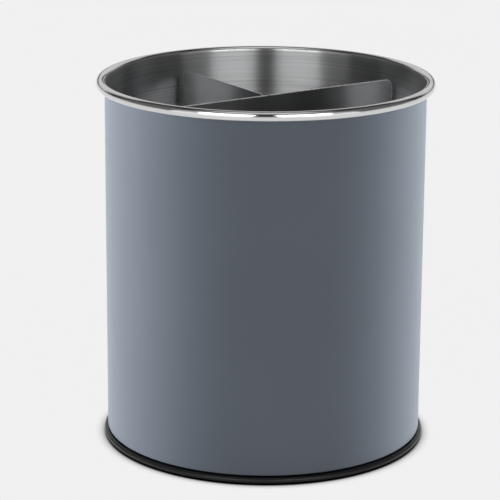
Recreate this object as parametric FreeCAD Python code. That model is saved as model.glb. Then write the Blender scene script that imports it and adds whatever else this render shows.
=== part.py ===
import FreeCAD, Part
import math
import os

# Rotating utensil crock: a steel drum with a rolled rim that turns on a weighted base.
# Frame: millimetres, +Z up, origin on the table under the middle of the crock.
# +X runs along the long divider panel, +Y along the cross panel behind it.

# Driving sizes of the drum
drum_height = 190.0
wall_outer_d = 168.3
wall_t = 0.6
bead_d = 5.2
bead_end_angle = -130.0
curl_inside_steps = 12
hem_height = 4.0

# Driving sizes of the base
base_lip = 1.85
base_ring_h = 3.2
base_edge_w = 1.0
base_floor_t = 2.2
skirt_gap = 0.8
collar_t = 2.0
collar_gap = 1.15
collar_rise = 5.3
weight_t = 4.0
weight_gap = 0.8

# Driving sizes of the feet
foot_count = 6
foot_d = 14.0
foot_inset = 6.0
foot_proud = 0.5
foot_sunk = 1.0

# Driving sizes of the ball race
ball_d = 5.0
ball_count = 12
race_pitch_d = 112.0
race_land_w = 12.0
race_t = 2.0
race_flange_t = 1.2
lower_flange_w = 10.0
upper_flange_w = 8.0
track_depth = 0.9
track_w = 4.6
ball_clearance = 0.05
cage_t = 1.2
cage_w = 11.0
pocket_clearance = 0.1

# Driving sizes of the race fasteners
fastener_count = 4
screw_d = 2.9
screw_length = 6.0
screw_head_d = 5.6
screw_head_h = 1.6
screw_head_edge_w = 0.6
screw_boss_d = 7.0
stud_d = 3.0
stud_tail = 0.6
nut_flats = 5.5
nut_h = 2.4
washer_d = 7.0
washer_t = 0.5

# Driving sizes of the pivot
pivot_thread_d = 6.0
pivot_shoulder_d = 8.0
pivot_head_d = 16.0
pivot_head_h = 1.4
pivot_head_edge_w = 0.6
pivot_socket_flats = 5.0
pivot_socket_depth = 0.9
pivot_nut_flats = 10.0
pivot_nut_h = 4.0
pivot_nut_recess = 0.9
pivot_washer_d = 13.0
pivot_washer_t = 1.0
pivot_boss_d = 24.0
pivot_pocket_d = 16.0
bush_wall = 1.5
bush_flange_d = 15.0
bush_flange_t = 0.8
bush_tail = 0.3

# Driving sizes of the drum floor
floor_t = 0.8
floor_bend_w = 1.6
floor_flange_gap = 1.3
dimple_d = 26.0
dimple_slope_w = 3.0
dimple_clear = 0.4

# Driving sizes of the grip mat
mat_t = 2.0
mat_gap = 1.25
mat_edge_w = 0.8
mat_ring_w = 1.2
mat_ring_h = 0.6
mat_ring_pitch = 12.0
mat_ring_first_r = 14.0
mat_ring_count = 5
guide_w = 2.0
guide_h = 4.0
guide_end_gap = 4.0

# Driving sizes of the divider
panel_t = 1.0
panel_drop = 10.0
panel_end_gap = 1.15
cross_end_gap = 3.5
panel_corner_r = 4.0
panel_foot_r = 2.0
bend_inner_r = 1.0
weld_flange_w = 12.0
weld_flange_top_drop = 12.0
weld_flange_foot_rise = 2.0

# Named clearances
fixed_fit = 0.03
running_fit = 0.05
slot_fit = 0.3
thread_fit = 0.05
head_gap = 0.2
hole_gap = 0.5
screw_hole_gap = 0.25

# Sizes worked out from the driving sizes: radii of the drum and base
wall_out_r = wall_outer_d / 2
wall_in_r = wall_out_r - wall_t
hem_in_r = wall_in_r - wall_t
bead_r = bead_d / 2
bead_mid_r = wall_in_r + bead_r
base_r = wall_out_r + base_lip
collar_out_r = hem_in_r - collar_gap
collar_in_r = collar_out_r - collar_t
weight_r = collar_in_r - weight_gap
ball_r = ball_d / 2
pitch_r = race_pitch_d / 2
race_in_r = pitch_r - race_land_w / 2
race_out_r = pitch_r + race_land_w / 2
screw_circle_r = race_in_r - lower_flange_w / 2
stud_circle_r = race_out_r + upper_flange_w / 2
foot_circle_r = base_r - foot_inset - foot_d / 2
bush_in_r = pivot_shoulder_d / 2 + running_fit
bush_out_r = bush_in_r + bush_wall
mat_r = wall_in_r - mat_gap

# Heights of the base, from the table up
base_z = foot_proud
base_floor_z = base_z + base_floor_t
base_ring_z = base_z + base_ring_h
collar_z = base_floor_z + collar_rise
weight_z = base_floor_z + weight_t

# Heights of the ball race
lower_race_z = weight_z + race_t
ball_z = lower_race_z - track_depth + ball_clearance + ball_r
upper_race_z = ball_z + ball_r + ball_clearance - track_depth
race_top_z = upper_race_z + race_t

# Heights of the drum
drum_z = base_ring_z + skirt_gap
rim_z = drum_z + drum_height
bead_z = rim_z - bead_r
hem_z = drum_z + hem_height
floor_z = race_top_z
floor_top_z = floor_z + floor_t

# Heights of the pivot, down from the floor's dimple
dimple_depth = pivot_head_h + head_gap + bush_flange_t + dimple_clear
dimple_z = floor_z - dimple_depth
dimple_top_z = dimple_z + floor_t
bush_flange_z = dimple_top_z + bush_flange_t
bush_foot_z = dimple_z - bush_tail
boss_z = bush_foot_z - slot_fit
pivot_head_z = bush_flange_z + head_gap
pivot_nut_z = base_z + pivot_nut_recess
pivot_nut_top_z = pivot_nut_z + pivot_nut_h
pocket_z = pivot_nut_top_z + pivot_washer_t

# Heights of the mat and divider
mat_top_z = floor_top_z + mat_t
guide_top_z = mat_top_z + guide_h
panel_z = mat_top_z
panel_top_z = rim_z - panel_drop
slot_half_w = panel_t / 2 + slot_fit
guide_out_w = slot_half_w + guide_w
panel_end_r = wall_in_r - panel_end_gap
cross_end_r = wall_in_r - cross_end_gap
cross_inner_y = guide_out_w + slot_fit
weld_flange_z = guide_top_z + weld_flange_foot_rise
weld_flange_top_z = panel_top_z - weld_flange_top_drop

UP = FreeCAD.Vector(0, 0, 1)
ORIGIN = FreeCAD.Vector(0, 0, 0)


def on_circle(mid, radius, degrees):
    """Point of a circle in the radial section, where mid is (r, z)."""
    turn = math.radians(degrees)
    return (mid[0] + radius * math.cos(turn), mid[1] + radius * math.sin(turn))


def section_point(rz):
    return FreeCAD.Vector(rz[0], 0, rz[1])


def line(start, end):
    return Part.LineSegment(section_point(start), section_point(end)).toShape()


def arc(mid, radius, first, last):
    """Arc in the radial section, from one angle to another through their middle."""
    ends = [on_circle(mid, radius, a) for a in (first, (first + last) / 2, last)]
    return Part.Arc(*[section_point(p) for p in ends]).toShape()


def revolved(edges):
    face = Part.Face(Part.Wire(edges))
    return face.revolve(ORIGIN, UP, 360)


def revolved_outline(points):
    closed = points + points[:1]
    return revolved([line(a, b) for a, b in zip(closed, closed[1:])])


def ring(in_r, out_r, low_z, high_z):
    return revolved_outline([(in_r, low_z), (out_r, low_z), (out_r, high_z), (in_r, high_z)])


def rod(radius, low_z, high_z, x=0.0, y=0.0):
    return Part.makeCylinder(radius, high_z - low_z, FreeCAD.Vector(x, y, low_z))


def hexagon(flats, low_z, high_z):
    """Hexagonal prism on the axis, measured across its flats."""
    corner_r = flats / math.sqrt(3)
    corners = []
    for side in range(6):
        turn = math.radians(60 * side)
        corners.append(FreeCAD.Vector(corner_r * math.cos(turn), corner_r * math.sin(turn), low_z))
    face = Part.Face(Part.makePolygon(corners + corners[:1]))
    return face.extrude(FreeCAD.Vector(0, 0, high_z - low_z))


def around(shape, count, radius, first_degrees=0.0):
    """Copies of a shape made on the axis, spread evenly round a circle."""
    copies = []
    for index in range(count):
        copy = shape.copy()
        copy.translate(FreeCAD.Vector(radius, 0, 0))
        copy.rotate(ORIGIN, UP, first_degrees + 360 * index / count)
        copies.append(copy)
    return copies


def block(low, high):
    """Box between two corners."""
    size = [b - a for a, b in zip(low, high)]
    return Part.makeBox(*size, FreeCAD.Vector(*low))


def make_drum_wall():
    """Steel tube with an outward rolled rim and a closed hem at its lower edge."""
    bead_mid = (bead_mid_r, bead_z)
    curl_in_r = bead_r - wall_t
    curl_turn = (180 - bead_end_angle) / curl_inside_steps
    curl_inside = []
    for step in range(curl_inside_steps + 1):
        curl_inside.append(on_circle(bead_mid, curl_in_r, bead_end_angle + step * curl_turn))
    fold_z = drum_z + wall_t
    edges = [
        line((hem_in_r, hem_z), (wall_in_r, hem_z)),
        line((wall_in_r, hem_z), (wall_in_r, bead_z)),
        arc(bead_mid, bead_r, 180, bead_end_angle),
        line(on_circle(bead_mid, bead_r, bead_end_angle), curl_inside[0]),
        *[line(a, b) for a, b in zip(curl_inside, curl_inside[1:])],
        line((wall_out_r, bead_z), (wall_out_r, fold_z)),
        line((wall_out_r, fold_z), (wall_in_r + wall_t / 2, drum_z)),
        line((wall_in_r + wall_t / 2, drum_z), (wall_in_r - wall_t / 2, drum_z)),
        line((wall_in_r - wall_t / 2, drum_z), (hem_in_r, fold_z)),
        line((hem_in_r, fold_z), (hem_in_r, hem_z)),
    ]
    return revolved(edges)


def make_drum_floor():
    """Pressed pan: a centre dimple for the pivot head and a flange turned down inside the wall."""
    rim_r = wall_in_r - fixed_fit
    flange_in_r = rim_r - floor_t
    flange_z = hem_z + floor_flange_gap
    bend_in_w = floor_bend_w - floor_t / 2
    hole_r = bush_out_r + fixed_fit
    dimple_r = dimple_d / 2
    slope_r = dimple_r + dimple_slope_w
    return revolved_outline([
        (hole_r, dimple_z),
        (dimple_r, dimple_z),
        (slope_r, floor_z),
        (flange_in_r - bend_in_w, floor_z),
        (flange_in_r, floor_z - bend_in_w),
        (flange_in_r, flange_z),
        (rim_r, flange_z),
        (rim_r, floor_top_z - floor_bend_w),
        (rim_r - floor_bend_w, floor_top_z),
        (slope_r, floor_top_z),
        (dimple_r, dimple_top_z),
        (hole_r, dimple_top_z),
    ])


def make_turntable_base():
    """Moulded tray: visible lip, upstand collar inside the skirt, pivot boss and screw bosses."""
    bore_r = pivot_thread_d / 2 + thread_fit
    boss_r = pivot_boss_d / 2
    pocket_r = pivot_pocket_d / 2
    tray = revolved_outline([
        (bore_r, boss_z),
        (boss_r, boss_z),
        (boss_r, base_floor_z),
        (collar_in_r, base_floor_z),
        (collar_in_r, collar_z),
        (collar_out_r, collar_z),
        (collar_out_r, base_ring_z),
        (base_r - base_edge_w, base_ring_z),
        (base_r, base_ring_z - base_edge_w),
        (base_r, base_z + base_edge_w),
        (base_r - base_edge_w, base_z),
        (pocket_r, base_z),
        (pocket_r, pocket_z),
        (bore_r, pocket_z),
    ])
    boss_top_z = weight_z - fixed_fit
    bosses = around(rod(screw_boss_d / 2, base_floor_z, boss_top_z), fastener_count, screw_circle_r)
    tray = tray.multiFuse(bosses).removeSplitter()
    screw_seat_z = weight_z + race_flange_t
    pilot = rod(screw_d / 2 + fixed_fit, screw_seat_z - screw_length - slot_fit, boss_top_z)
    socket = rod(foot_d / 2 + fixed_fit, base_z, base_z + foot_sunk)
    cuts = around(pilot, fastener_count, screw_circle_r)
    cuts += around(socket, foot_count, foot_circle_r)
    return tray.cut(Part.makeCompound(cuts))


def make_foot_pads():
    pad = rod(foot_d / 2, 0, base_z + foot_sunk)
    return Part.makeCompound(around(pad, foot_count, foot_circle_r))


def make_weight_plate():
    """Steel disc that keeps the crock from tipping, cleared round the bosses."""
    plate = ring(pivot_boss_d / 2 + hole_gap, weight_r, base_floor_z, weight_z)
    hole = rod(screw_boss_d / 2 + hole_gap, base_floor_z, weight_z)
    return plate.cut(Part.makeCompound(around(hole, fastener_count, screw_circle_r)))


def ball_track(low_z, high_z):
    """Flat-bottomed channel that the balls roll in."""
    return ring(pitch_r - track_w / 2, pitch_r + track_w / 2, low_z, high_z)


def make_lower_race():
    flange_in_r = race_in_r - lower_flange_w
    outline = [
        (flange_in_r, weight_z),
        (race_out_r, weight_z),
        (race_out_r, lower_race_z),
        (race_in_r, lower_race_z),
        (race_in_r, weight_z + race_flange_t),
        (flange_in_r, weight_z + race_flange_t),
    ]
    hole = rod(screw_d / 2 + screw_hole_gap, weight_z, weight_z + race_flange_t)
    race = revolved_outline(outline).cut(ball_track(lower_race_z - track_depth, lower_race_z))
    return race.cut(Part.makeCompound(around(hole, fastener_count, screw_circle_r)))


def make_upper_race():
    flange_out_r = race_out_r + upper_flange_w
    flange_z = race_top_z - race_flange_t
    outline = [
        (race_in_r, upper_race_z),
        (race_out_r, upper_race_z),
        (race_out_r, flange_z),
        (flange_out_r, flange_z),
        (flange_out_r, race_top_z),
        (race_in_r, race_top_z),
    ]
    hole = rod(stud_d / 2 + screw_hole_gap, flange_z, race_top_z)
    race = revolved_outline(outline).cut(ball_track(upper_race_z, upper_race_z + track_depth))
    return race.cut(Part.makeCompound(around(hole, fastener_count, stud_circle_r)))


def make_ball_cage():
    """Flat ring with a pocket for each ball, which turns at half the drum's speed."""
    low_z = ball_z - cage_t / 2
    high_z = ball_z + cage_t / 2
    cage = ring(pitch_r - cage_w / 2, pitch_r + cage_w / 2, low_z, high_z)
    pocket = rod(ball_r + pocket_clearance, low_z, high_z)
    return cage.cut(Part.makeCompound(around(pocket, ball_count, pitch_r)))


def make_bearing_balls():
    ball = Part.makeSphere(ball_r, FreeCAD.Vector(0, 0, ball_z))
    return Part.makeCompound(around(ball, ball_count, pitch_r))


def make_lower_race_screws():
    """Pan-head screws from the race flange down into the tray's bosses."""
    seat_z = weight_z + race_flange_t
    head_r = screw_head_d / 2
    head_top_z = seat_z + screw_head_h
    shank_r = screw_d / 2
    tip_z = seat_z - screw_length
    screw = revolved_outline([
        (0, tip_z),
        (shank_r, tip_z),
        (shank_r, seat_z),
        (head_r, seat_z),
        (head_r, head_top_z - screw_head_edge_w),
        (head_r - screw_head_edge_w, head_top_z),
        (0, head_top_z),
    ])
    return Part.makeCompound(around(screw, fastener_count, screw_circle_r))


def make_weld_studs():
    """Threaded studs welded under the floor, which carry the upper race."""
    flange_z = race_top_z - race_flange_t
    stud = rod(stud_d / 2, flange_z - washer_t - nut_h - stud_tail, floor_z)
    return Part.makeCompound(around(stud, fastener_count, stud_circle_r))


def make_race_washers():
    flange_z = race_top_z - race_flange_t
    washer = ring(stud_d / 2 + screw_hole_gap, washer_d / 2, flange_z - washer_t, flange_z)
    return Part.makeCompound(around(washer, fastener_count, stud_circle_r))


def make_race_nuts():
    seat_z = race_top_z - race_flange_t - washer_t
    bore = rod(stud_d / 2 + fixed_fit, seat_z - nut_h, seat_z)
    nut = hexagon(nut_flats, seat_z - nut_h, seat_z).cut(bore)
    return Part.makeCompound(around(nut, fastener_count, stud_circle_r))


def make_pivot_bolt():
    """Shoulder bolt: flat head in the dimple, shoulder in the bush, thread through the tray boss."""
    thread_r = pivot_thread_d / 2
    shoulder_r = pivot_shoulder_d / 2
    head_r = pivot_head_d / 2
    head_top_z = pivot_head_z + pivot_head_h
    tip_z = base_z + pivot_nut_recess / 2
    bolt = revolved_outline([
        (0, tip_z),
        (thread_r, tip_z),
        (thread_r, boss_z),
        (shoulder_r, boss_z),
        (shoulder_r, pivot_head_z),
        (head_r, pivot_head_z),
        (head_r, head_top_z - pivot_head_edge_w),
        (head_r - pivot_head_edge_w, head_top_z),
        (0, head_top_z),
    ])
    return bolt.cut(hexagon(pivot_socket_flats, head_top_z - pivot_socket_depth, head_top_z))


def make_pivot_bush():
    """Nylon bush with a flange, fixed in the dimple's hole."""
    flange_r = bush_flange_d / 2
    outline = [
        (bush_in_r, bush_foot_z),
        (bush_out_r, bush_foot_z),
        (bush_out_r, dimple_top_z),
        (flange_r, dimple_top_z),
        (flange_r, bush_flange_z),
        (bush_in_r, bush_flange_z),
    ]
    return revolved_outline(outline)


def make_pivot_washer():
    return ring(pivot_thread_d / 2 + screw_hole_gap, pivot_washer_d / 2, pivot_nut_top_z, pocket_z)


def make_pivot_nut():
    bore = rod(pivot_thread_d / 2 + fixed_fit, pivot_nut_z, pivot_nut_top_z)
    return hexagon(pivot_nut_flats, pivot_nut_z, pivot_nut_top_z).cut(bore)


def make_grip_mat():
    """Rubber insert: low grip rings, and guide ribs that hold the divider's foot in a T of slots."""
    disc = revolved_outline([
        (0, floor_top_z),
        (mat_r, floor_top_z),
        (mat_r, mat_top_z - mat_edge_w),
        (mat_r - mat_edge_w, mat_top_z),
        (0, mat_top_z),
    ])
    rings = []
    for index in range(mat_ring_count):
        ring_r = mat_ring_first_r + index * mat_ring_pitch
        rings.append(ring(ring_r, ring_r + mat_ring_w, mat_top_z, mat_top_z + mat_ring_h))
    guide_end_r = mat_r - guide_end_gap
    long_guide = block((-guide_end_r, -guide_out_w, mat_top_z), (guide_end_r, guide_out_w, guide_top_z))
    cross_guide = block((-guide_out_w, 0, mat_top_z), (guide_out_w, guide_end_r, guide_top_z))
    long_slot = block((-mat_r, -slot_half_w, mat_top_z), (mat_r, slot_half_w, guide_top_z))
    cross_slot = block((-slot_half_w, 0, mat_top_z), (slot_half_w, mat_r, guide_top_z))
    mat = disc.multiFuse(rings + [long_guide, cross_guide])
    return mat.cut(Part.makeCompound([long_slot, cross_slot])).removeSplitter()


def upright_sheet(start, end, foot_z, top_z, corner_radii):
    """Sheet of the panel's thickness standing on the XZ plane, with its corners rounded.

    The radii go round from the lower start corner; a radius of 0 leaves the corner square.
    """
    corners = [(start, foot_z), (end, foot_z), (end, top_z), (start, top_z)]
    edges = []
    for index, ((x, z), radius) in enumerate(zip(corners, corner_radii)):
        first = 180 + 90 * index
        mid = (x + radius if x == start else x - radius, z + radius if z == foot_z else z - radius)
        leave = on_circle(mid, radius, first + 90)
        if radius > 0:
            edges.append(arc(mid, radius, first, first + 90))
        next_x, next_z = corners[(index + 1) % 4]
        next_r = corner_radii[(index + 1) % 4]
        next_mid_x = next_x + next_r if next_x == start else next_x - next_r
        next_mid_z = next_z + next_r if next_z == foot_z else next_z - next_r
        edges.append(line(leave, on_circle((next_mid_x, next_mid_z), next_r, first + 90)))
    face = Part.Face(Part.Wire(edges))
    face.translate(FreeCAD.Vector(0, -panel_t / 2, 0))
    return face.extrude(FreeCAD.Vector(0, panel_t, 0))


def make_long_panel():
    radii = (panel_foot_r, panel_foot_r, panel_corner_r, panel_corner_r)
    return upright_sheet(-panel_end_r, panel_end_r, panel_z, panel_top_z, radii)


def fold_arc(mid_x, mid_y, radius, first, last):
    """Arc of a fold seen from above, from one angle to another through their middle."""
    points = []
    for degrees in (first, (first + last) / 2, last):
        x, y = on_circle((mid_x, mid_y), radius, degrees)
        points.append(FreeCAD.Vector(x, y, weld_flange_z))
    return Part.Arc(*points).toShape()


def fold_line(start, end):
    ends = [FreeCAD.Vector(x, y, weld_flange_z) for x, y in (start, end)]
    return Part.LineSegment(*ends).toShape()


def make_cross_panel():
    """Cross panel with a weld flange folded along the long panel's back."""
    radii = (0, panel_foot_r, panel_corner_r, 0)
    sheet = upright_sheet(cross_inner_y, cross_end_r, panel_z, panel_top_z, radii)
    sheet.rotate(ORIGIN, UP, 90)
    half_t = panel_t / 2
    mid_x = half_t + bend_inner_r
    mid_y = half_t + panel_t + bend_inner_r
    flange_x = mid_x + weld_flange_w
    back_y = half_t + panel_t
    fold = Part.Wire([
        fold_line((half_t, cross_inner_y), (-half_t, cross_inner_y)),
        fold_line((-half_t, cross_inner_y), (-half_t, mid_y)),
        fold_arc(mid_x, mid_y, bend_inner_r + panel_t, 180, 270),
        fold_line((mid_x, half_t), (flange_x, half_t)),
        fold_line((flange_x, half_t), (flange_x, back_y)),
        fold_line((flange_x, back_y), (mid_x, back_y)),
        fold_arc(mid_x, mid_y, bend_inner_r, 270, 180),
        fold_line((half_t, mid_y), (half_t, cross_inner_y)),
    ])
    flange = Part.Face(fold).extrude(FreeCAD.Vector(0, 0, weld_flange_top_z - weld_flange_z))
    return sheet.fuse(flange).removeSplitter()


MAKERS = {
    "turntable_base": make_turntable_base,
    "foot_pads": make_foot_pads,
    "weight_plate": make_weight_plate,
    "lower_race": make_lower_race,
    "lower_race_screws": make_lower_race_screws,
    "pivot_bolt": make_pivot_bolt,
    "pivot_washer": make_pivot_washer,
    "pivot_nut": make_pivot_nut,
    "ball_cage": make_ball_cage,
    "bearing_balls": make_bearing_balls,
    "drum_wall": make_drum_wall,
    "drum_floor": make_drum_floor,
    "upper_race": make_upper_race,
    "weld_studs": make_weld_studs,
    "race_washers": make_race_washers,
    "race_nuts": make_race_nuts,
    "pivot_bush": make_pivot_bush,
    "grip_mat": make_grip_mat,
    "long_panel": make_long_panel,
    "cross_panel": make_cross_panel,
}

os.makedirs("parts", exist_ok=True)
for node, maker in MAKERS.items():
    shape = maker()
    solids = shape.Solids
    print(node, "solids", len(solids), "valid", shape.isValid(), "volume", round(shape.Volume, 1))
    shape.exportStep(f"parts/{node}.step")
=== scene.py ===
"""Looks of the rotating utensil crock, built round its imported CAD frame.

Laid out as an add-on: property groups hold the sizes and colours, one operator makes each piece or
group of like pieces, and main() calls them in order.
"""

import functools
import math

import bmesh
import bpy
from mathutils import Matrix, Vector


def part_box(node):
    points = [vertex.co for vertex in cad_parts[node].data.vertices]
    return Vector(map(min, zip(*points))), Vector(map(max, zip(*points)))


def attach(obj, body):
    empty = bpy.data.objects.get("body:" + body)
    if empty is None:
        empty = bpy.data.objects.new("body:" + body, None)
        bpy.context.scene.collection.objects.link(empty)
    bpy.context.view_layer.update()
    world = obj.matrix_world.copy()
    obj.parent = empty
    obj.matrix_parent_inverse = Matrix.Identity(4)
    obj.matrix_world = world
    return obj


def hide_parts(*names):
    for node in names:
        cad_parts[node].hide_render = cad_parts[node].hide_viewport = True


bl_info = {
    "name": "Rotating utensil crock",
    "version": (1, 0, 0),
    "blender": (4, 5, 0),
    "location": "3D View > Sidebar > Crock",
    "description": "Finishes and soft studio stage for a steel utensil crock on a turntable",
    "category": "Object",
}

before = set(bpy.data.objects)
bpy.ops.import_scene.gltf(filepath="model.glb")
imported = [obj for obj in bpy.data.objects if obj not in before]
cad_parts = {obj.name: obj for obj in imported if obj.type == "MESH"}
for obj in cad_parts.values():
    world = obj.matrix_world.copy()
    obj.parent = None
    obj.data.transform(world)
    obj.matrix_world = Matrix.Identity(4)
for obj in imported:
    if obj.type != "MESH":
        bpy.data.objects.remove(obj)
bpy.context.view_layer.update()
MM = 0.001

wall_low, wall_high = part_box("drum_wall")
balls_low, balls_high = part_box("bearing_balls")

# The map on bare sheet that turns the steel's blur the way it was brushed
FINISH_MAP = "finish"

# Values of a noise, from its dark parts to its light ones, that a finish runs between
BROAD_SPAN = (0.2, 0.8)
MIDDLE_SPAN = (0.25, 0.75)
NARROW_SPAN = (0.3, 0.7)
NOISE_MIDDLE = 0.5

# Values of pointiness, from a rounded edge to a sharp one
POINTED_SPAN = (0.52, 0.62)

# Openness of the floor, from right under the base to just clear of it, which darkens the floor's glow into a
# painted contact shadow
SHADOW_SPAN = (0.30, 0.97)
SHADOW_SAMPLES = 16

# Sockets of a Mix node that mixes colours
COLOUR_A = 6
COLOUR_B = 7
COLOUR_RESULT = 2

# Copies of CAD meshes: points nearer than this are one, edges under the flat angle go, edges over the
# sharp angle are rounded, and large faces lead the shading
MERGE_DISTANCE = 0.001 * MM
FLAT_ANGLE = math.radians(0.5)
SHARP_ANGLE = math.radians(30)
LARGE_FACES_LEAD = 100

# The drum wall's section: points nearer than this are one, steps of its arcs, the way to the axis, and
# where the coat starts under the bead's middle, in bead radii
SAME_POINT = 1e-7
CURL_STEPS = 40
HEM_STEPS = 10
INWARD = math.pi
COAT_UNDER_BEAD = 1.02

# A face of the long panel counts as its flat side when its normal points this much across it
FLAT_SIDE = 0.98

# Elevations, in degrees, over which the dome goes from one level to the next
HORIZON_BAND = (1.0, 5.0)
OVERHEAD_BAND = (60.0, 75.0)
TOP_BAND = (68.0, 78.0)

# Soft boxes of the dome, in degrees: azimuth from the camera, and shape
FRONT_BOX = 37.0
SIDE_BOX = 92.0
HALF_TURN = 180.0
LOW_SHAPE = {"Half width": 26.0, "Low": 2.0, "High": 24.0, "Side softness": 4.0}
HIGH_SHAPE = {"Half width": 26.0, "Low": 30.0, "High": 54.0, "Side softness": 4.0}
SIDE_SHAPE = {"Half width": 22.0, "Low": 4.0, "High": 54.0, "Side softness": 8.0}
BACK_SHAPE = {"Half width": 35.0, "Low": 12.0, "High": 38.0, "Side softness": 15.0}
WHITE = (1.0, 1.0, 1.0, 1.0)

# Lamps: elevation over the middle of the drum, distance from it, and size
LOW_LAMP = {"elevation": math.radians(4.0), "distance": 1.2, "width": 0.6, "height": 0.34}
HIGH_LAMP = {"elevation": math.radians(31.0), "distance": 1.0, "width": 0.56, "height": 0.36}

FLOOR_SIDES = 96
SENSOR_WIDTH = 36.0
NEAREST = 0.05
FARTHEST = 50.0


class CrockSizes(bpy.types.PropertyGroup):
    """Sizes that the finished pieces are made to."""

    rim_radius: bpy.props.FloatProperty(
        name="Rim radius", description="Axis to the outside of the rolled rim",
        default=wall_high.x, subtype="DISTANCE", unit="LENGTH")
    wall_radius: bpy.props.FloatProperty(
        name="Wall radius", description="Axis to the painted outside of the drum",
        default=84.15 * MM, subtype="DISTANCE", unit="LENGTH")
    wall_thickness: bpy.props.FloatProperty(
        name="Wall thickness", description="Thickness of the drum's sheet",
        default=0.6 * MM, subtype="DISTANCE", unit="LENGTH")
    hem_height: bpy.props.FloatProperty(
        name="Hem height", description="Height of the folded lower edge inside the drum",
        default=4.0 * MM, subtype="DISTANCE", unit="LENGTH")
    curl_end: bpy.props.FloatProperty(
        name="Curl end", description="Where the rolled rim stops under the bead",
        default=math.radians(-130.0), subtype="ANGLE", unit="ROTATION")
    lathe_steps: bpy.props.IntProperty(
        name="Lathe steps", description="Faces round the drum wall", default=256, min=64)
    edge_round: bpy.props.FloatProperty(
        name="Edge round", description="Rounding of the sheet and moulded edges",
        default=0.35 * MM, subtype="DISTANCE", unit="LENGTH")
    blend_width: bpy.props.FloatProperty(
        name="Blend width", description="Out over the rim's curve, where brushed steel goes over to polished",
        default=0.6 * MM, subtype="DISTANCE", unit="LENGTH")
    ball_count: bpy.props.IntProperty(
        name="Ball count", description="Balls in the race", default=12, min=6)


class CrockColours(bpy.types.PropertyGroup):
    """Colours of the finishes."""

    paint: bpy.props.FloatVectorProperty(
        name="Paint", description="Slate coat outside the drum",
        default=(0.106, 0.126, 0.154), size=3, min=0, max=1, subtype="COLOR")
    steel: bpy.props.FloatVectorProperty(
        name="Steel", description="Bare stainless steel",
        default=(0.42, 0.425, 0.43), size=3, min=0, max=1, subtype="COLOR")
    bright_steel: bpy.props.FloatVectorProperty(
        name="Bright steel", description="Polished steel of the rim and the balls",
        default=(0.70, 0.70, 0.70), size=3, min=0, max=1, subtype="COLOR")
    # Brighter steel on the long panel's edges: a painted highlight
    highlight_steel: bpy.props.FloatVectorProperty(
        name="Highlight steel", description="Filed edge of the long panel",
        default=(0.90, 0.90, 0.90), size=3, min=0, max=1, subtype="COLOR")
    lip: bpy.props.FloatVectorProperty(
        name="Base", description="Moulded black base",
        default=(0.010, 0.010, 0.011), size=3, min=0, max=1, subtype="COLOR")
    rubbed_lip: bpy.props.FloatVectorProperty(
        name="Rubbed base", description="Base where its edges are rubbed",
        default=(0.06, 0.06, 0.062), size=3, min=0, max=1, subtype="COLOR")
    rubber: bpy.props.FloatVectorProperty(
        name="Rubber", description="Grip mat and feet",
        default=(0.075, 0.075, 0.079), size=3, min=0, max=1, subtype="COLOR")
    zinc: bpy.props.FloatVectorProperty(
        name="Zinc", description="Plated races and fasteners",
        default=(0.56, 0.57, 0.58), size=3, min=0, max=1, subtype="COLOR")
    nylon: bpy.props.FloatVectorProperty(
        name="Nylon", description="Ball cage and pivot bush",
        default=(0.74, 0.72, 0.64), size=3, min=0, max=1, subtype="COLOR")
    weight: bpy.props.FloatVectorProperty(
        name="Weight", description="Blackened weight plate",
        default=(0.05, 0.05, 0.052), size=3, min=0, max=1, subtype="COLOR")
    floor: bpy.props.FloatVectorProperty(
        name="Floor", description="Pale floor",
        default=(0.876, 0.876, 0.876), size=3, min=0, max=1, subtype="COLOR")


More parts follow.
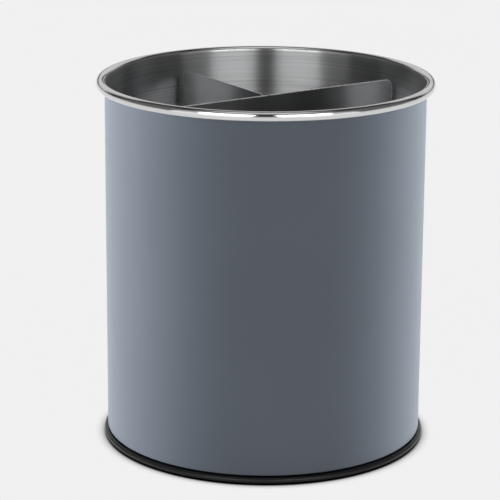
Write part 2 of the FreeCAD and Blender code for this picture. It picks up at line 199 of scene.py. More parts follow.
class CrockStage(bpy.types.PropertyGroup):
    """Camera and light."""

    turn: bpy.props.FloatProperty(
        name="Turn", description="The camera's place round the crock, from the front of the long panel",
        default=math.radians(-34.15), subtype="ANGLE", unit="ROTATION")
    distance: bpy.props.FloatProperty(
        name="Distance", description="Camera to the crock's axis, over the floor",
        default=1.1671, subtype="DISTANCE", unit="LENGTH")
    height: bpy.props.FloatProperty(
        name="Height", description="Camera above the floor",
        default=0.4296, subtype="DISTANCE", unit="LENGTH")
    pitch: bpy.props.FloatProperty(
        name="Pitch", description="How far the camera looks down",
        default=0.2750, subtype="ANGLE", unit="ROTATION")
    swing: bpy.props.FloatProperty(
        name="Swing", description="How far the camera looks to one side of the axis",
        default=-0.0066, subtype="ANGLE", unit="ROTATION")
    roll: bpy.props.FloatProperty(
        name="Roll", description="The camera's lean",
        default=0.0063, subtype="ANGLE", unit="ROTATION")
    lens: bpy.props.FloatProperty(
        name="Lens", description="Focal length",
        default=163.71, subtype="DISTANCE_CAMERA", unit="CAMERA")
    floor_radius: bpy.props.FloatProperty(
        name="Floor radius", description="How far the pale floor reaches",
        default=8.0, subtype="DISTANCE", unit="LENGTH")
    # Reach of the painted contact shadow in the floor's glow
    shadow_reach: bpy.props.FloatProperty(
        name="Shadow reach", description="How far the contact shadow spreads over the floor",
        default=9.0 * MM, subtype="DISTANCE", unit="LENGTH")
    horizon: bpy.props.FloatProperty(
        name="Horizon", description="Level of the pale backdrop", default=0.88)
    overhead: bpy.props.FloatProperty(
        name="Overhead", description="Level of the room overhead", default=0.3)
    left_power: bpy.props.FloatProperty(
        name="Left power", description="Power of the left lamp", default=31.0, unit="POWER")
    right_power: bpy.props.FloatProperty(
        name="Right power", description="Power of the right lamp", default=36.0, unit="POWER")
    left_lamp: bpy.props.FloatProperty(
        name="Left lamp", description="Place of the left lamp, from the camera",
        default=math.radians(-104.0), subtype="ANGLE", unit="ROTATION")
    right_lamp: bpy.props.FloatProperty(
        name="Right lamp", description="Place of the right lamp, from the camera",
        default=math.radians(119.0), subtype="ANGLE", unit="ROTATION")
    steel_power: bpy.props.FloatProperty(
        name="Steel power", description="Power of each high lamp in front, seen in gloss alone",
        default=3.6, unit="POWER")
    steel_lamps: bpy.props.FloatProperty(
        name="Steel lamps", description="Place of the high lamps, either side of the camera",
        default=math.radians(26.0), subtype="ANGLE", unit="ROTATION")
    low_boxes: bpy.props.FloatProperty(
        name="Low boxes", description="Level of the two broad low soft boxes in front", default=0.9)
    high_boxes: bpy.props.FloatProperty(
        name="High boxes", description="Level of the soft boxes above them", default=0.4)
    side_boxes: bpy.props.FloatProperty(
        name="Side boxes", description="Level of the dim soft boxes at the sides", default=0.12)
    top_box: bpy.props.FloatProperty(
        name="Top box", description="Level of the small soft box right overhead, that looks into the drum",
        default=0.5)
    back_box: bpy.props.FloatProperty(
        name="Back box", description="Level of the soft box behind, that the sheet edges catch", default=0.7)
    room: bpy.props.FloatProperty(
        name="Room", description="Level of the unlit room", default=0.02)


def settings():
    """The scene's sizes, colours and stage."""
    scene = bpy.context.scene
    return scene.crock_sizes, scene.crock_colours, scene.crock_stage


# Node helpers

def feed(tree, node, inputs):
    """A node's inputs, each set to a value or linked to a socket."""
    for key, value in inputs.items():
        socket = node.inputs[key]
        if isinstance(value, bpy.types.NodeSocket):
            tree.links.new(value, socket)
        else:
            socket.default_value = value


def add_node(tree, kind, inputs=None, **choices):
    """Node of a kind, with its choices made and its inputs set or linked."""
    node = tree.nodes.new(kind)
    for key, value in choices.items():
        setattr(node, key, value)
    feed(tree, node, inputs or {})
    return node


def use_group(tree, group, inputs):
    """Outputs of a shader node group placed in a material."""
    return add_node(tree, "ShaderNodeGroup", inputs, node_tree=group).outputs


def calc(tree, operation, a, b=0.0, clamp=False):
    return add_node(tree, "ShaderNodeMath", {0: a, 1: b}, operation=operation, use_clamp=clamp).outputs[0]


def ramp(tree, value, span, levels=(0.0, 1.0), smooth=True):
    """The value taken from its span to a pair of levels, eased at both ends."""
    node = add_node(tree, "ShaderNodeMapRange", {
        "Value": value,
        "From Min": span[0], "From Max": span[1],
        "To Min": levels[0], "To Max": levels[1],
    }, interpolation_type="SMOOTHSTEP" if smooth else "LINEAR")
    return node.outputs["Result"]


def blended(tree, factor, first, second, blend_type="MIX"):
    """Two colours mixed by a factor."""
    node = add_node(tree, "ShaderNodeMix", {
        "Factor": factor, COLOUR_A: first, COLOUR_B: second,
    }, data_type="RGBA", blend_type=blend_type)
    return node.outputs[COLOUR_RESULT]


def tinted(tree, colour, mask, levels):
    """The colour made darker and lighter by a mask."""
    level = ramp(tree, mask, MIDDLE_SPAN, levels, smooth=False)
    return blended(tree, 1.0, (*colour, 1.0), level, blend_type="MULTIPLY")


def bump(tree, height, depth, strength):
    node = add_node(tree, "ShaderNodeBump", {"Height": height, "Distance": depth, "Strength": strength})
    return node.outputs["Normal"]


def brushed_way(tree):
    """Tangent that follows the finish map."""
    return add_node(tree, "ShaderNodeTangent", direction_type="UV_MAP", uv_map=FINISH_MAP).outputs[0]


def new_group(name, kind, inputs, outputs):
    """Empty node group with its named sockets, and the nodes that hold them."""
    tree = bpy.data.node_groups.new(name, kind)
    for socket_name, socket_type, default in inputs:
        socket = tree.interface.new_socket(name=socket_name, in_out="INPUT", socket_type=socket_type)
        if default is not None:
            socket.default_value = default
    for socket_name, socket_type in outputs:
        tree.interface.new_socket(name=socket_name, in_out="OUTPUT", socket_type=socket_type)
    return tree, tree.nodes.new("NodeGroupInput").outputs, tree.nodes.new("NodeGroupOutput").inputs


# Effects that several finishes use, each group made once

@functools.cache
def brush_lines_group():
    """Fine lines along level planes, as a brush leaves on sheet turned or drawn past it."""
    tree, source, result = new_group("Brush lines", "ShaderNodeTree", [
        ("Vector", "NodeSocketVector", None),
        ("Along", "NodeSocketFloat", 9.0),
        ("Across", "NodeSocketFloat", 1400.0),
        ("Contrast", "NodeSocketFloat", 0.5),
    ], [
        ("Lines", "NodeSocketFloat"),
        ("Clouds", "NodeSocketFloat"),
    ])
    parts = add_node(tree, "ShaderNodeSeparateXYZ", {0: source["Vector"]}).outputs
    squashed = add_node(tree, "ShaderNodeCombineXYZ", {
        0: calc(tree, "MULTIPLY", parts[0], source["Along"]),
        1: calc(tree, "MULTIPLY", parts[1], source["Along"]),
        2: calc(tree, "MULTIPLY", parts[2], source["Across"]),
    })
    fine = add_node(tree, "ShaderNodeTexNoise", {
        "Vector": squashed.outputs[0], "Scale": 1.0, "Detail": 5.0, "Roughness": 0.7})
    broad = add_node(tree, "ShaderNodeTexNoise", {
        "Vector": source["Vector"], "Scale": 38.0, "Detail": 2.0, "Roughness": 0.5})
    centred = calc(tree, "SUBTRACT", fine.outputs[0], NOISE_MIDDLE)
    scaled = calc(tree, "MULTIPLY", centred, source["Contrast"])
    tree.links.new(calc(tree, "ADD", scaled, NOISE_MIDDLE), result["Lines"])
    tree.links.new(broad.outputs[0], result["Clouds"])
    return tree


@functools.cache
def fine_grain_group():
    """Even grain of a moulded or sprayed surface, with slow clouds over it."""
    tree, source, result = new_group("Fine grain", "ShaderNodeTree", [
        ("Vector", "NodeSocketVector", None),
        ("Grain", "NodeSocketFloat", 900.0),
        ("Clouds scale", "NodeSocketFloat", 30.0),
    ], [
        ("Grain", "NodeSocketFloat"),
        ("Clouds", "NodeSocketFloat"),
    ])
    grain = add_node(tree, "ShaderNodeTexNoise", {
        "Vector": source["Vector"], "Scale": source["Grain"], "Detail": 3.0, "Roughness": 0.6})
    clouds = add_node(tree, "ShaderNodeTexNoise", {
        "Vector": source["Vector"], "Scale": source["Clouds scale"], "Detail": 2.0})
    tree.links.new(grain.outputs[0], result["Grain"])
    tree.links.new(clouds.outputs[0], result["Clouds"])
    return tree


@functools.cache
def edge_wear_group():
    """Mask of rubbed edges: where the surface is pointed, broken up by noise."""
    tree, source, result = new_group("Edge wear", "ShaderNodeTree", [
        ("Vector", "NodeSocketVector", None),
        ("Sharpness", "NodeSocketFloat", 6.0),
    ], [
        ("Wear", "NodeSocketFloat"),
    ])
    pointiness = tree.nodes.new("ShaderNodeNewGeometry").outputs["Pointiness"]
    breakup = add_node(tree, "ShaderNodeTexNoise", {
        "Vector": source["Vector"], "Scale": 140.0, "Detail": 3.0})
    broken = calc(tree, "POWER", breakup.outputs[0], source["Sharpness"])
    wear = calc(tree, "MULTIPLY", ramp(tree, pointiness, POINTED_SPAN), broken, clamp=True)
    tree.links.new(wear, result["Wear"])
    return tree


# Finishes, each made the first time that it is asked for

def new_material(name):
    """Material with its tree, its shader and the place on the object."""
    material = bpy.data.materials.new(name)
    material.use_nodes = True
    tree = material.node_tree
    tree.nodes.clear()
    shader = tree.nodes.new("ShaderNodeBsdfPrincipled")
    output = tree.nodes.new("ShaderNodeOutputMaterial")
    tree.links.new(shader.outputs[0], output.inputs["Surface"])
    where = tree.nodes.new("ShaderNodeTexCoord").outputs["Object"]
    return material, tree, shader, where


@functools.cache
def paint_material():
    """Satin coat with a fine grain."""
    _, colours, _ = settings()
    material, tree, shader, where = new_material("slate_paint")
    grain = use_group(tree, fine_grain_group(), {"Vector": where, "Grain": 520.0, "Clouds scale": 14.0})
    feed(tree, shader, {
        "Base Color": tinted(tree, colours.paint, grain["Clouds"], (0.97, 1.03)),
        "Roughness": ramp(tree, grain["Clouds"], BROAD_SPAN, (0.33, 0.39)),
        "Normal": bump(tree, grain["Grain"], depth=0.02 * MM, strength=0.35),
        "Specular IOR Level": 0.35,
    })
    return material


@functools.cache
def drum_steel_material():
    """Bare steel of the drum: brushed inside, going over to the polished rolled rim."""
    sizes, colours, _ = settings()
    material, tree, shader, where = new_material("drum_steel")
    flat = add_node(tree, "ShaderNodeVectorMath", {0: where, 1: (1.0, 1.0, 0.0)}, operation="MULTIPLY")
    radius = add_node(tree, "ShaderNodeVectorMath", {0: flat.outputs[0]}, operation="LENGTH")
    inside = sizes.wall_radius - sizes.wall_thickness
    polish = ramp(tree, radius.outputs["Value"], (inside, inside + sizes.blend_width))
    lines = use_group(tree, brush_lines_group(), {
        "Vector": where, "Contrast": 1.6, "Along": 8.0, "Across": 1300.0})
    brushed = tinted(tree, colours.steel, lines["Lines"], (0.76, 1.14))
    bright = tinted(tree, colours.bright_steel, lines["Clouds"], (0.96, 1.02))
    rough = add_node(tree, "ShaderNodeMix", {
        "Factor": polish,
        "A": ramp(tree, lines["Lines"], BROAD_SPAN, (0.33, 0.43)),
        "B": ramp(tree, lines["Lines"], BROAD_SPAN, (0.13, 0.16)),
    }, data_type="FLOAT")
    grooves = calc(tree, "MULTIPLY", lines["Lines"], ramp(tree, polish, (0.0, 1.0), (1.0, 0.3)))
    feed(tree, shader, {
        "Base Color": blended(tree, polish, brushed, bright),
        "Roughness": rough.outputs[0],
        "Normal": bump(tree, grooves, depth=0.006 * MM, strength=0.4),
        "Tangent": brushed_way(tree),
        "Metallic": 1.0,
        "Anisotropic": 1.0,
    })
    return material


@functools.cache
def panel_material():
    """Brushed sheet of the divider."""
    _, colours, _ = settings()
    material, tree, shader, where = new_material("panel_steel")
    lines = use_group(tree, brush_lines_group(), {"Vector": where, "Contrast": 0.9, "Across": 1700.0})
    feed(tree, shader, {
        "Base Color": tinted(tree, colours.steel, lines["Lines"], (0.86, 1.08)),
        "Roughness": ramp(tree, lines["Lines"], BROAD_SPAN, (0.20, 0.28)),
        "Normal": bump(tree, lines["Lines"], depth=0.02 * MM, strength=0.3),
        "Tangent": brushed_way(tree),
        "Metallic": 1.0,
        "Anisotropic": 0.8,
    })
    return material


@functools.cache
def base_material():
    """Black moulding, a little rubbed at its edges."""
    _, colours, _ = settings()
    material, tree, shader, where = new_material("black_moulding")
    grain = use_group(tree, fine_grain_group(), {"Vector": where, "Grain": 1600.0, "Clouds scale": 40.0})
    wear = use_group(tree, edge_wear_group(), {"Vector": where})["Wear"]
    black = tinted(tree, colours.lip, grain["Clouds"], (0.9, 1.15))
    feed(tree, shader, {
        "Base Color": blended(tree, wear, black, (*colours.rubbed_lip, 1.0)),
        "Roughness": ramp(tree, grain["Grain"], NARROW_SPAN, (0.26, 0.36)),
        "Normal": bump(tree, grain["Grain"], depth=0.03 * MM, strength=0.35),
        "Specular IOR Level": 0.25,
    })
    return material


@functools.cache
def rubber_material():
    """Matt rubber of the mat and the feet."""
    _, colours, _ = settings()
    material, tree, shader, where = new_material("matt_rubber")
    grain = use_group(tree, fine_grain_group(), {"Vector": where, "Grain": 1200.0, "Clouds scale": 55.0})
    feed(tree, shader, {
        "Base Color": tinted(tree, colours.rubber, grain["Clouds"], (0.85, 1.35)),
        "Roughness": ramp(tree, grain["Grain"], NARROW_SPAN, (0.62, 0.82)),
        "Normal": bump(tree, grain["Grain"], depth=0.08 * MM, strength=0.5),
    })
    return material


@functools.cache
def nylon_material():
    """Natural nylon of the cage and the bush."""
    _, colours, _ = settings()
    material, tree, shader, where = new_material("natural_nylon")
    grain = use_group(tree, fine_grain_group(), {"Vector": where, "Grain": 800.0, "Clouds scale": 70.0})
    feed(tree, shader, {
        "Base Color": tinted(tree, colours.nylon, grain["Clouds"], (0.94, 1.04)),
        "Roughness": ramp(tree, grain["Grain"], NARROW_SPAN, (0.42, 0.55)),
        "Subsurface Weight": 0.15,
        "Subsurface Scale": 1.0 * MM,
    })
    return material


def plain_metal(name, colour, roughness, metallic=1.0):
    """Rolled or plated metal: clouds in the colour, grain in the roughness."""
    material, tree, shader, where = new_material(name)
    grain = use_group(tree, fine_grain_group(), {"Vector": where, "Grain": 700.0, "Clouds scale": 60.0})
    feed(tree, shader, {
        "Base Color": tinted(tree, colour, grain["Clouds"], (0.88, 1.08)),
        "Roughness": ramp(tree, grain["Grain"], NARROW_SPAN, roughness),
        "Normal": bump(tree, grain["Grain"], depth=0.01 * MM, strength=0.3),
        "Metallic": metallic,
    })
    return material


@functools.cache
def painted_highlight_material():
    """Edges of the long panel in brighter steel: a painted highlight."""
    _, colours, _ = settings()
    return plain_metal("painted_edge_highlight", colours.highlight_steel, (0.26, 0.34))


@functools.cache
def floor_pan_material():
    """Rolled steel of the floor pan."""
    _, colours, _ = settings()
    return plain_metal("rolled_steel", colours.steel, (0.28, 0.4))


@functools.cache
def zinc_material():
    """Zinc plate of the races and the fasteners."""
    _, colours, _ = settings()
    return plain_metal("zinc_plate", colours.zinc, (0.3, 0.45))


@functools.cache
def ball_material():
    """Ground steel of the balls."""
    _, colours, _ = settings()
    return plain_metal("bearing_steel", colours.bright_steel, (0.06, 0.1))


@functools.cache
def weight_material():
    """Blackened steel of the weight plate."""
    _, colours, _ = settings()
    return plain_metal("blackened_steel", colours.weight, (0.5, 0.65), metallic=0.6)


@functools.cache
def floor_material():
    """Pale floor that keeps its level in the picture and in gloss, with a painted contact shadow under the
    base.
    """
    _, colours, stage = settings()
    material, tree, shader, where = new_material("pale_floor")
    grain = use_group(tree, fine_grain_group(), {"Vector": where, "Grain": 60.0, "Clouds scale": 1.5})
    tone = tinted(tree, colours.floor, grain["Clouds"], (0.998, 1.002))
    feed(tree, shader, {"Base Color": tone, "Roughness": 0.9, "Specular IOR Level": 0.0})
    # What camera and gloss see is a glow, darkened where the floor is closed in: a painted contact shadow
    near = add_node(tree, "ShaderNodeAmbientOcclusion", {
        "Distance": stage.shadow_reach}, samples=SHADOW_SAMPLES)
    painted_shadow = ramp(tree, near.outputs["AO"], SHADOW_SPAN)
    shown = add_node(tree, "ShaderNodeEmission", {"Color": tone, "Strength": painted_shadow})
    rays = tree.nodes.new("ShaderNodeLightPath").outputs
    seen = calc(tree, "MAXIMUM", rays["Is Camera Ray"], rays["Is Glossy Ray"])
    seen = calc(tree, "MAXIMUM", seen, rays["Is Transmission Ray"])
    mixed = add_node(tree, "ShaderNodeMixShader", {0: seen, 1: shader.outputs[0], 2: shown.outputs[0]})
    output = next(node for node in tree.nodes if node.bl_idname == "ShaderNodeOutputMaterial")
    tree.links.new(mixed.outputs[0], output.inputs["Surface"])
    return material


# Mesh helpers

def link(name, data):
    piece = bpy.data.objects.new(name, data)
    bpy.context.scene.collection.objects.link(piece)
    return piece


def give(mesh, material):
    """A mesh gets one finish all over, in place of what it had."""
    mesh.materials.clear()
    mesh.materials.append(material)


def give_nodes(nodes, material):
    """CAD nodes keep their shapes and get a finish."""
    for node in nodes:
        give(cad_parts[node].data, material)


def is_same_point(a, b):
    return (Vector(a) - Vector(b)).length < SAME_POINT


def turned(name, spans, steps):
    """Closed turned piece. Each span is (points, material) and goes on from the one before.

    A point is (radius, height). The finish map's U runs along the section and V round the axis.
    """
    outline = []
    owner = []
    for number, (points, _) in enumerate(spans):
        for point in points:
            if outline and is_same_point(outline[-1], point):
                continue
            outline.append(point)
            owner.append(number)
    if is_same_point(outline[0], outline[-1]):
        outline.pop()
        owner.pop()
    count = len(outline)
    lengths = [0.0]
    for a, b in zip(outline, outline[1:] + outline[:1]):
        lengths.append(lengths[-1] + (Vector(b) - Vector(a)).length)
    shape = bmesh.new()
    finish = shape.loops.layers.uv.new(FINISH_MAP)
    rings = []
    for step in range(steps):
        turn = 2 * math.pi * step / steps
        rings.append([shape.verts.new((r * math.cos(turn), r * math.sin(turn), z)) for r, z in outline])
    for step in range(steps):
        here, there = rings[step], rings[(step + 1) % steps]
        round_here, round_there = step / steps, (step + 1) / steps
        for index in range(count):
            after = (index + 1) % count
            face = shape.faces.new((here[index], there[index], there[after], here[after]))
            face.material_index = owner[after]
            face.smooth = True
            marks = (
                (lengths[index], round_here), (lengths[index], round_there),
                (lengths[index + 1], round_there), (lengths[index + 1], round_here),
            )
            for loop, mark in zip(face.loops, marks):
                loop[finish].uv = mark
    bmesh.ops.recalc_face_normals(shape, faces=shape.faces)
    mesh = bpy.data.meshes.new(name)
    shape.to_mesh(mesh)
    shape.free()
    for _, material in spans:
        mesh.materials.append(material)
    return link(name, mesh)


def curve_points(middle, radius, first, last, steps):
    """Points of a section arc, from one angle to another."""
    points = []
    for step in range(steps + 1):
        turn = first + (last - first) * step / steps
        points.append((middle[0] + radius * math.cos(turn), middle[1] + radius * math.sin(turn)))
    return points


def made_plain(piece):
    """The piece's modifiers turned into its mesh."""
    graph = bpy.context.evaluated_depsgraph_get()
    mesh = bpy.data.meshes.new_from_object(piece.evaluated_get(graph), depsgraph=graph)
    piece.modifiers.clear()
    piece.data = mesh
    return piece


def finished_copy(node, round_width, segments=3):
    """Copy of a CAD node's mesh with its sharp edges rounded, as a plain mesh."""
    shape = bmesh.new()
    shape.from_mesh(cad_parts[node].data)
    bmesh.ops.remove_doubles(shape, verts=shape.verts, dist=MERGE_DISTANCE)
    bmesh.ops.dissolve_limit(shape, angle_limit=FLAT_ANGLE, verts=shape.verts, edges=shape.edges)
    for face in shape.faces:
        face.smooth = True
    mesh = bpy.data.meshes.new(node + "_finished")
    shape.to_mesh(mesh)
    shape.free()
    piece = link(node + "_finished", mesh)
    rounding = piece.modifiers.new("Rounded edges", "BEVEL")
    rounding.width = round_width
    rounding.segments = segments
    rounding.limit_method = "ANGLE"
    rounding.angle_limit = SHARP_ANGLE
    rounding.use_clamp_overlap = True
    shading = piece.modifiers.new("Even shading", "WEIGHTED_NORMAL")
    shading.keep_sharp = False
    shading.weight = LARGE_FACES_LEAD
    return made_plain(piece)


def finish_map(mesh):
    """Finish map of flat sheet: U up the sheet, V along it."""
    layer = mesh.uv_layers.new(name=FINISH_MAP)
    for loop in mesh.loops:
        place = mesh.vertices[loop.vertex_index].co
        layer.data[loop.index].uv = (place.z, place.x + place.y)


# Geometry node helpers

@functools.cache
def ball_ring_tree():
    """Tree that puts balls evenly round a level circle."""
    tree, source, result = new_group("Ring of balls", "GeometryNodeTree", [
        ("Count", "NodeSocketInt", 12),
        ("Circle radius", "NodeSocketFloat", 0.05),
        ("Ball radius", "NodeSocketFloat", 0.0025),
        ("Height", "NodeSocketFloat", 0.0),
        ("Material", "NodeSocketMaterial", None),
    ], [
        ("Geometry", "NodeSocketGeometry"),
    ])
    circle = add_node(tree, "GeometryNodeMeshCircle", {
        "Vertices": source["Count"], "Radius": source["Circle radius"]})
    lift = add_node(tree, "ShaderNodeCombineXYZ", {2: source["Height"]})
    raised = add_node(tree, "GeometryNodeSetPosition", {
        "Geometry": circle.outputs["Mesh"], "Offset": lift.outputs[0]})
    ball = add_node(tree, "GeometryNodeMeshUVSphere", {
        "Segments": 32, "Rings": 16, "Radius": source["Ball radius"]})
    copies = add_node(tree, "GeometryNodeInstanceOnPoints", {
        "Points": raised.outputs["Geometry"], "Instance": ball.outputs["Mesh"]})
    real = add_node(tree, "GeometryNodeRealizeInstances", {"Geometry": copies.outputs["Instances"]})
    soft = add_node(tree, "GeometryNodeSetShadeSmooth", {"Geometry": real.outputs["Geometry"]})
    coated = add_node(tree, "GeometryNodeSetMaterial", {
        "Geometry": soft.outputs["Geometry"], "Material": source["Material"]})
    tree.links.new(coated.outputs["Geometry"], result["Geometry"])
    return tree


def piece_from_tree(name, tree, values):
    """Piece that a Geometry Nodes tree makes from its inputs, as a plain mesh."""
    piece = link(name, bpy.data.meshes.new(name))
    modifier = piece.modifiers.new(tree.name, "NODES")
    modifier.node_group = tree
    for item in tree.interface.items_tree:
        if item.item_type == "SOCKET" and item.in_out == "INPUT":
            modifier[item.identifier] = values[item.name]
    return made_plain(piece)


# Operators

class CROCK_OT_drum_wall(bpy.types.Operator):
    """Make the drum's wall: painted outside, brushed inside, with a polished rolled rim"""

    bl_idname = "crock.drum_wall"
    bl_label = "Drum wall"

    def execute(self, context):
        sizes, _, _ = settings()
        inside = sizes.wall_radius - sizes.wall_thickness
        bead_radius = (sizes.rim_radius - inside) / 2
        bead_middle = (inside + bead_radius, wall_high.z - bead_radius)
        curl_inside = bead_radius - sizes.wall_thickness
        fold_middle = (inside, wall_low.z + sizes.wall_thickness)
        hem_inside = inside - sizes.wall_thickness
        hem_top = wall_low.z + sizes.hem_height
        coat_top = bead_middle[1] - bead_radius * COAT_UNDER_BEAD
        bare = [
            (hem_inside, fold_middle[1]), (hem_inside, hem_top), (inside, hem_top),
            (inside, (hem_top + bead_middle[1]) / 2),
        ]
        bare += curve_points(bead_middle, bead_radius, INWARD, sizes.curl_end, CURL_STEPS)
        bare += curve_points(bead_middle, curl_inside, sizes.curl_end, INWARD, CURL_STEPS)
        bare += [(sizes.wall_radius, coat_top)]
        coat = [(sizes.wall_radius, coat_top), (sizes.wall_radius, (coat_top + wall_low.z) / 2)]
        coat += curve_points(fold_middle, sizes.wall_thickness, 0.0, -INWARD, HEM_STEPS)
        wall = turned("drum_wall_finished", [
            (bare, drum_steel_material()), (coat, paint_material()),
        ], sizes.lathe_steps)
        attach(wall, "drum")
        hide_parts("drum_wall")
        return {"FINISHED"}


class CROCK_OT_drum_floor(bpy.types.Operator):
    """Finish the pressed floor pan and the bush in it"""

    bl_idname = "crock.drum_floor"
    bl_label = "Drum floor"

    def execute(self, context):
        give_nodes(["drum_floor"], floor_pan_material())
        give_nodes(["pivot_bush"], nylon_material())
        return {"FINISHED"}


class CROCK_OT_base(bpy.types.Operator):
    """Make the moulded base and the rubber feet with softened edges, and finish the weight plate"""

    bl_idname = "crock.base"
    bl_label = "Turntable base"

    def execute(self, context):
        sizes, _, _ = settings()
        base = finished_copy("turntable_base", sizes.edge_round)
        give(base.data, base_material())
        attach(base, "base")
        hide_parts("turntable_base")
        give_nodes(["weight_plate"], weight_material())
        pads = finished_copy("foot_pads", sizes.edge_round / 2)
        give(pads.data, rubber_material())
        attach(pads, "base")
        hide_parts("foot_pads")
        return {"FINISHED"}


class CROCK_OT_ball_race(bpy.types.Operator):
    """Make the bearing balls and finish their cage and races"""

    bl_idname = "crock.ball_race"
    bl_label = "Ball race"

    def execute(self, context):
        sizes, _, _ = settings()
        ball_radius = (balls_high.z - balls_low.z) / 2
        balls = piece_from_tree("bearing_balls_finished", ball_ring_tree(), {
            "Count": sizes.ball_count,
            "Circle radius": balls_high.x - ball_radius,
            "Ball radius": ball_radius,
            "Height": (balls_high.z + balls_low.z) / 2,
            "Material": ball_material(),
        })
        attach(balls, "cage")
        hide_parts("bearing_balls")
        give_nodes(["ball_cage"], nylon_material())
        give_nodes(["lower_race", "upper_race"], zinc_material())
        return {"FINISHED"}


class CROCK_OT_fasteners(bpy.types.Operator):
    """Finish the screws, studs, nuts, washers and the pivot bolt"""

    bl_idname = "crock.fasteners"
    bl_label = "Fasteners"

    def execute(self, context):
        give_nodes([
            "lower_race_screws", "weld_studs", "race_washers", "race_nuts",
            "pivot_bolt", "pivot_washer", "pivot_nut",
        ], zinc_material())
        return {"FINISHED"}


class CROCK_OT_grip_mat(bpy.types.Operator):
    """Make the ribbed rubber mat with softened edges"""

    bl_idname = "crock.grip_mat"
    bl_label = "Grip mat"

    def execute(self, context):
        sizes, _, _ = settings()
        mat = finished_copy("grip_mat", sizes.edge_round / 2, segments=2)
        give(mat.data, rubber_material())
        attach(mat, "mat")
        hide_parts("grip_mat")
        return {"FINISHED"}


class CROCK_OT_divider(bpy.types.Operator):
    """Make the divider's two brushed panels, the long one with its edges in brighter steel as a painted
    highlight
    """

    bl_idname = "crock.divider"
    bl_label = "Divider"

    def execute(self, context):
        sizes, _, _ = settings()
        for node in ("long_panel", "cross_panel"):
            panel = finished_copy(node, sizes.edge_round)
            give(panel.data, panel_material())
            if node == "long_panel":
                # Every face but the two flat sides gets the brighter steel, a painted highlight
                panel.data.materials.append(painted_highlight_material())
                for face in panel.data.polygons:
                    face.material_index = 0 if abs(face.normal.y) > FLAT_SIDE else 1
            finish_map(panel.data)
            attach(panel, "divider")
            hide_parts(node)
        return {"FINISHED"}


# Stage

@functools.cache
def softbox_group():
    """Mask of one soft box in the dome of light, by its azimuth and elevation in degrees."""
    tree, source, result = new_group("Soft box", "ShaderNodeTree", [
        ("Azimuth", "NodeSocketFloat", 0.0),
        ("Elevation", "NodeSocketFloat", 0.0),
        ("Middle", "NodeSocketFloat", 90.0),
        ("Half width", "NodeSocketFloat", 40.0),
        ("Low", "NodeSocketFloat", 0.0),
        ("High", "NodeSocketFloat", 50.0),
        ("Side softness", "NodeSocketFloat", 6.0),
        ("Edge softness", "NodeSocketFloat", 6.0),
    ], [
        ("Mask", "NodeSocketFloat"),
    ])
    past_middle = calc(tree, "SUBTRACT", source["Azimuth"], source["Middle"])
    signed = add_node(tree, "ShaderNodeMath", {0: past_middle, 1: HALF_TURN, 2: -HALF_TURN}, operation="WRAP")
    away = calc(tree, "ABSOLUTE", signed.outputs[0])
    outer = calc(tree, "ADD", source["Half width"], source["Side softness"])
    under = calc(tree, "SUBTRACT", source["Low"], source["Edge softness"])
    over = calc(tree, "ADD", source["High"], source["Edge softness"])
    side = ramp(tree, away, (outer, source["Half width"]))
    foot = ramp(tree, source["Elevation"], (under, source["Low"]))
    head = ramp(tree, source["Elevation"], (over, source["High"]))
    tree.links.new(calc(tree, "MULTIPLY", side, calc(tree, "MULTIPLY", foot, head)), result["Mask"])
    return tree


def light_dome():
    """World: a pale horizon, a dim room and soft boxes, placed by their azimuth from the camera.

    The camera itself sees the horizon's level everywhere, so the backdrop stays plain.
    """
    _, _, stage = settings()
    world = bpy.data.worlds.new("studio_dome")
    world.use_nodes = True
    tree = world.node_tree
    tree.nodes.clear()
    direction = tree.nodes.new("ShaderNodeTexCoord").outputs["Generated"]
    facing = add_node(tree, "ShaderNodeMapping", {"Vector": direction, "Rotation": (0.0, 0.0, -stage.turn)})
    parts = add_node(tree, "ShaderNodeSeparateXYZ", {0: facing.outputs[0]}).outputs
    to_camera = calc(tree, "MULTIPLY", parts[1], -1.0)
    azimuth = calc(tree, "DEGREES", calc(tree, "ARCTAN2", parts[0], to_camera))
    elevation = calc(tree, "DEGREES", calc(tree, "ARCSINE", parts[2]))
    level = ramp(tree, elevation, HORIZON_BAND, (stage.horizon, stage.room))
    level = calc(tree, "ADD", level, ramp(tree, elevation, OVERHEAD_BAND, (0.0, stage.overhead)))
    level = calc(tree, "ADD", level, ramp(tree, elevation, TOP_BAND, (0.0, stage.top_box)))
    for strength, middle, box in (
        (stage.low_boxes, -FRONT_BOX, LOW_SHAPE), (stage.low_boxes, FRONT_BOX, LOW_SHAPE),
        (stage.high_boxes, -FRONT_BOX, HIGH_SHAPE), (stage.high_boxes, FRONT_BOX, HIGH_SHAPE),
        (stage.side_boxes, -SIDE_BOX, SIDE_SHAPE), (stage.side_boxes, SIDE_BOX, SIDE_SHAPE),
        (stage.back_box, HALF_TURN, BACK_SHAPE),
    ):
        mask = use_group(tree, softbox_group(), {
            "Azimuth": azimuth, "Elevation": elevation, "Middle": middle, **box})["Mask"]
        level = calc(tree, "ADD", level, calc(tree, "MULTIPLY", mask, strength))
    lights = add_node(tree, "ShaderNodeBackground", {"Strength": level, "Color": WHITE})
    backdrop = add_node(tree, "ShaderNodeBackground", {"Strength": stage.horizon, "Color": WHITE})
    camera_ray = tree.nodes.new("ShaderNodeLightPath").outputs["Is Camera Ray"]
    background = add_node(tree, "ShaderNodeMixShader", {
        0: camera_ray, 1: lights.outputs[0], 2: backdrop.outputs[0]})
    output = tree.nodes.new("ShaderNodeOutputWorld")
    tree.links.new(background.outputs[0], output.inputs["Surface"])
    bpy.context.scene.world = world


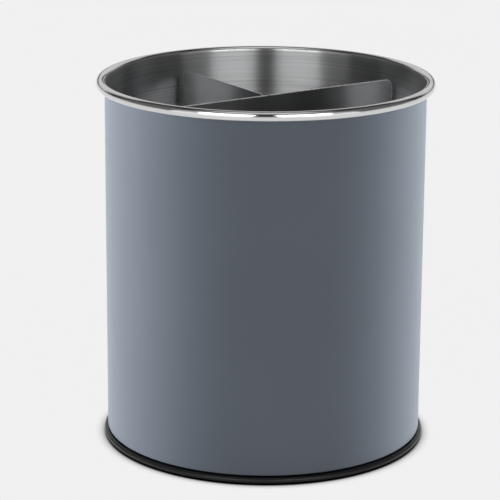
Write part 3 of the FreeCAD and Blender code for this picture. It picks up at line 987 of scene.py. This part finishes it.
def lamp(name, azimuth, power, elevation, distance, width, height):
    """Soft rectangular lamp that faces the middle of the drum, hidden from the camera."""
    _, _, stage = settings()
    data = bpy.data.lights.new(name, "AREA")
    data.shape = "RECTANGLE"
    data.size = width
    data.size_y = height
    data.energy = power
    piece = link(name, data)
    piece.visible_camera = False
    facing = Matrix.Rotation(math.pi / 2 - elevation, 4, "X") @ Matrix.Translation((0.0, 0.0, distance))
    middle = Matrix.Translation((0.0, 0.0, (wall_high.z + wall_low.z) / 2))
    piece.matrix_world = middle @ Matrix.Rotation(stage.turn + azimuth, 4, "Z") @ facing
    return piece


def place_lamps():
    """Two low lamps, which no gloss shows, shape the paint. Two high ones are seen in gloss alone."""
    _, _, stage = settings()
    lamp("left_lamp", stage.left_lamp, stage.left_power, **LOW_LAMP).visible_glossy = False
    lamp("right_lamp", stage.right_lamp, stage.right_power, **LOW_LAMP).visible_glossy = False
    lamp("left_steel_lamp", -stage.steel_lamps, stage.steel_power, **HIGH_LAMP).visible_diffuse = False
    lamp("right_steel_lamp", stage.steel_lamps, stage.steel_power, **HIGH_LAMP).visible_diffuse = False


def place_camera():
    """Camera at the photograph's place, swung, pitched and leaned a little."""
    _, _, stage = settings()
    swing, pitch, roll = stage.swing, stage.pitch, stage.roll
    ahead = Vector((math.sin(swing) * math.cos(pitch), math.cos(swing) * math.cos(pitch), -math.sin(pitch)))
    right = Vector((math.cos(swing), -math.sin(swing), 0.0))
    up = right.cross(ahead)
    leaning_right = math.cos(roll) * right + math.sin(roll) * up
    leaning_up = math.cos(roll) * up - math.sin(roll) * right
    axes = Matrix((leaning_right, leaning_up, -ahead)).transposed()
    place = Matrix.Translation((0.0, -stage.distance, stage.height)) @ axes.to_4x4()
    data = bpy.data.cameras.new("photo_camera")
    data.sensor_width = SENSOR_WIDTH
    data.lens = stage.lens
    data.clip_start = NEAREST
    data.clip_end = FARTHEST
    camera = link("photo_camera", data)
    camera.matrix_world = Matrix.Rotation(stage.turn, 4, "Z") @ place
    bpy.context.scene.camera = camera


class CROCK_OT_stage(bpy.types.Operator):
    """Make the pale floor, the dome of soft light, the lamps and the camera"""

    bl_idname = "crock.stage"
    bl_label = "Stage"

    def execute(self, context):
        _, _, stage = settings()
        shape = bmesh.new()
        bmesh.ops.create_circle(shape, cap_ends=True, radius=stage.floor_radius, segments=FLOOR_SIDES)
        mesh = bpy.data.meshes.new("pale_floor")
        shape.to_mesh(mesh)
        shape.free()
        mesh.materials.append(floor_material())
        link("pale_floor", mesh)
        light_dome()
        place_lamps()
        place_camera()
        bpy.context.scene.view_settings.view_transform = "Standard"
        return {"FINISHED"}


class CROCK_PT_panel(bpy.types.Panel):
    """Lists the crock's pieces and its stage"""

    bl_idname = "CROCK_PT_panel"
    bl_label = "Utensil crock"
    bl_space_type = "VIEW_3D"
    bl_region_type = "UI"
    bl_category = "Crock"

    def draw(self, context):
        for operator in OPERATORS:
            self.layout.operator(operator.bl_idname)
        for group in (context.scene.crock_sizes, context.scene.crock_colours, context.scene.crock_stage):
            for name in group.bl_rna.properties.keys():
                if name not in ("rna_type", "name"):
                    self.layout.prop(group, name)


GROUPS = (CrockSizes, CrockColours, CrockStage)
OPERATORS = (
    CROCK_OT_drum_wall,
    CROCK_OT_drum_floor,
    CROCK_OT_base,
    CROCK_OT_ball_race,
    CROCK_OT_fasteners,
    CROCK_OT_grip_mat,
    CROCK_OT_divider,
    CROCK_OT_stage,
)


def register():
    for group in GROUPS + OPERATORS + (CROCK_PT_panel,):
        bpy.utils.register_class(group)
    bpy.types.Scene.crock_sizes = bpy.props.PointerProperty(type=CrockSizes)
    bpy.types.Scene.crock_colours = bpy.props.PointerProperty(type=CrockColours)
    bpy.types.Scene.crock_stage = bpy.props.PointerProperty(type=CrockStage)


def unregister():
    del bpy.types.Scene.crock_stage
    del bpy.types.Scene.crock_colours
    del bpy.types.Scene.crock_sizes
    for group in reversed(GROUPS + OPERATORS + (CROCK_PT_panel,)):
        bpy.utils.unregister_class(group)


def main():
    register()
    bpy.ops.crock.drum_wall()
    bpy.ops.crock.drum_floor()
    bpy.ops.crock.base()
    bpy.ops.crock.ball_race()
    bpy.ops.crock.fasteners()
    bpy.ops.crock.grip_mat()
    bpy.ops.crock.divider()
    bpy.ops.crock.stage()


if __name__ == "__main__":
    main()
